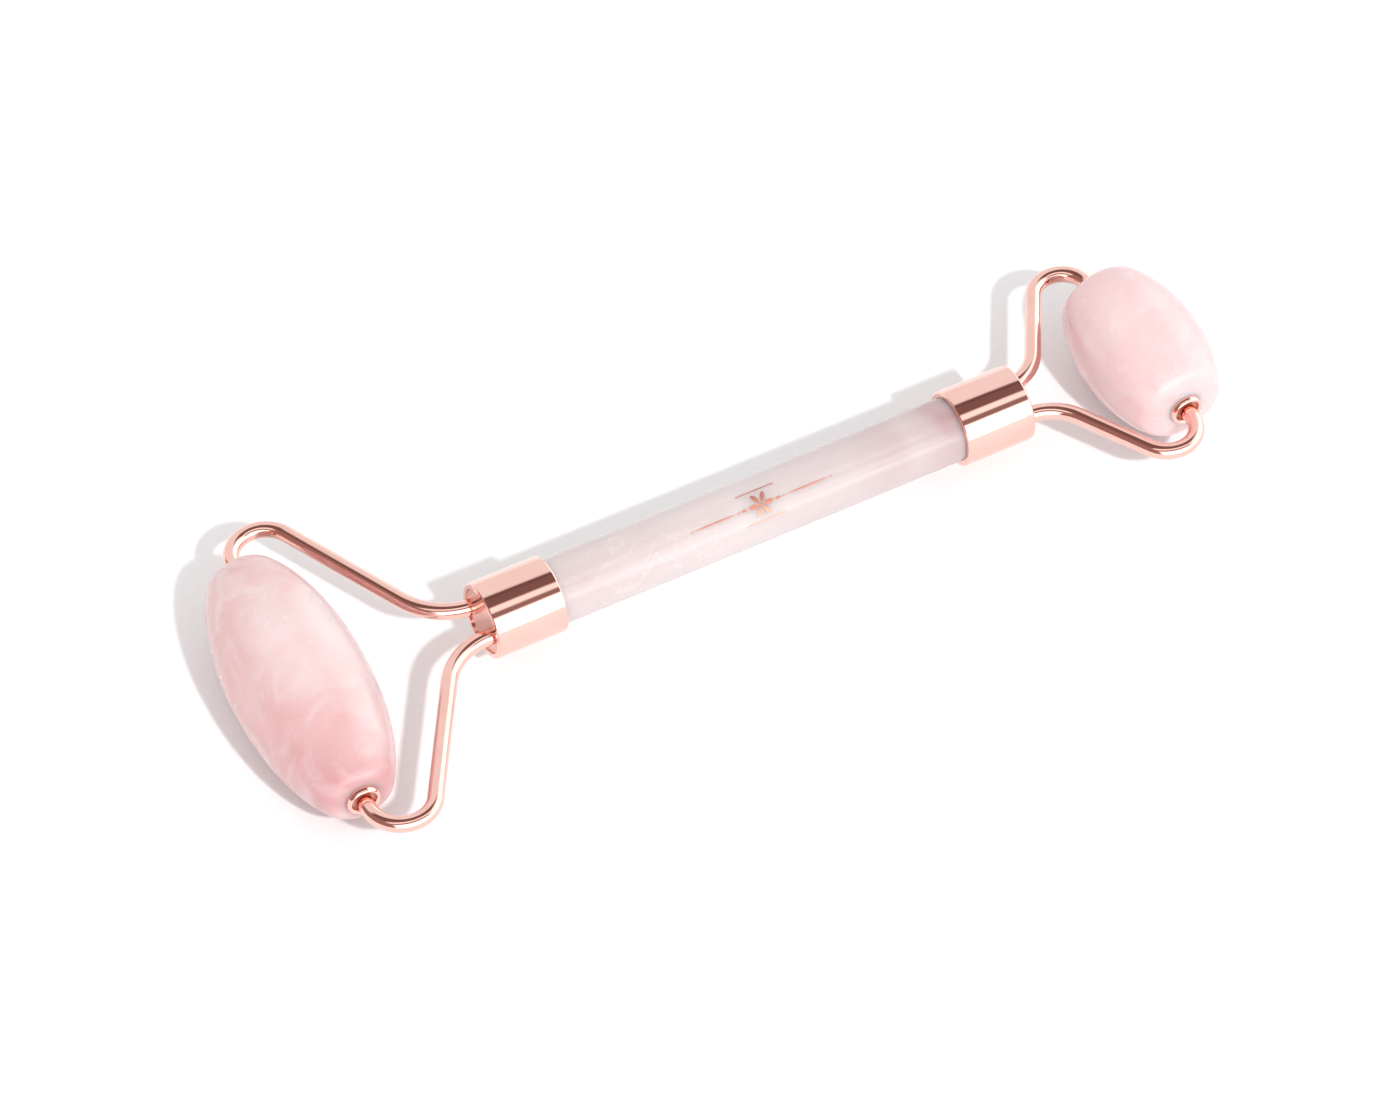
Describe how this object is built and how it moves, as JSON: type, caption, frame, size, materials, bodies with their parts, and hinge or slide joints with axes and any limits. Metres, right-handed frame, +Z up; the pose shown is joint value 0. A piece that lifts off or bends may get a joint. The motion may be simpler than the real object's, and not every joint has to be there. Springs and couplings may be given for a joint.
{
  "type": "face roller",
  "caption": "Two-ended stone face roller: a round rose quartz handle with a large and a small barrel roller, each held in a bent rose-gold wire yoke.",
  "frame": {"origin": "on the handle's axis, at the middle of the stone rod that shows between the ferrules", "axes": "+X along the handle towards the small roller, +Y to the far side of both yokes, which lie flat in the XY plane, +Z up as the tool lies on a table"},
  "size_m": [0.1526, 0.0593, 0.0196],
  "materials": {
    "rose_quartz": "polished",
    "rose_gold": "polished",
    "nylon": "satin",
    "resin": "gloss"
  },
  "bodies": {
    "handle": {"handle_rod": "rose_quartz", "large_ferrule": "rose_gold", "large_end_plate": "rose_gold", "large_potting": "resin", "large_yoke": "rose_gold", "small_ferrule": "rose_gold", "small_end_plate": "rose_gold", "small_potting": "resin", "small_yoke": "rose_gold"},
    "large_roller": {"large_roller_stone": "rose_quartz", "large_near_eyelet": "rose_gold", "large_near_bush": "nylon", "large_far_eyelet": "rose_gold", "large_far_bush": "nylon"},
    "small_roller": {"small_roller_stone": "rose_quartz", "small_near_eyelet": "rose_gold", "small_near_bush": "nylon", "small_far_eyelet": "rose_gold", "small_far_bush": "nylon"}
  },
  "joints": [
    {"name": "large_roller_spin", "type": "hinge", "parent": "handle", "child": "large_roller", "pos_m": [-0.07015, 0.00162, 0], "axis": [0.0593, 0.9982, 0], "continuous": true},
    {"name": "small_roller_spin", "type": "hinge", "parent": "handle", "child": "small_roller", "pos_m": [0.0635, 0, 0], "axis": [0, 1, 0], "continuous": true}
  ]
}
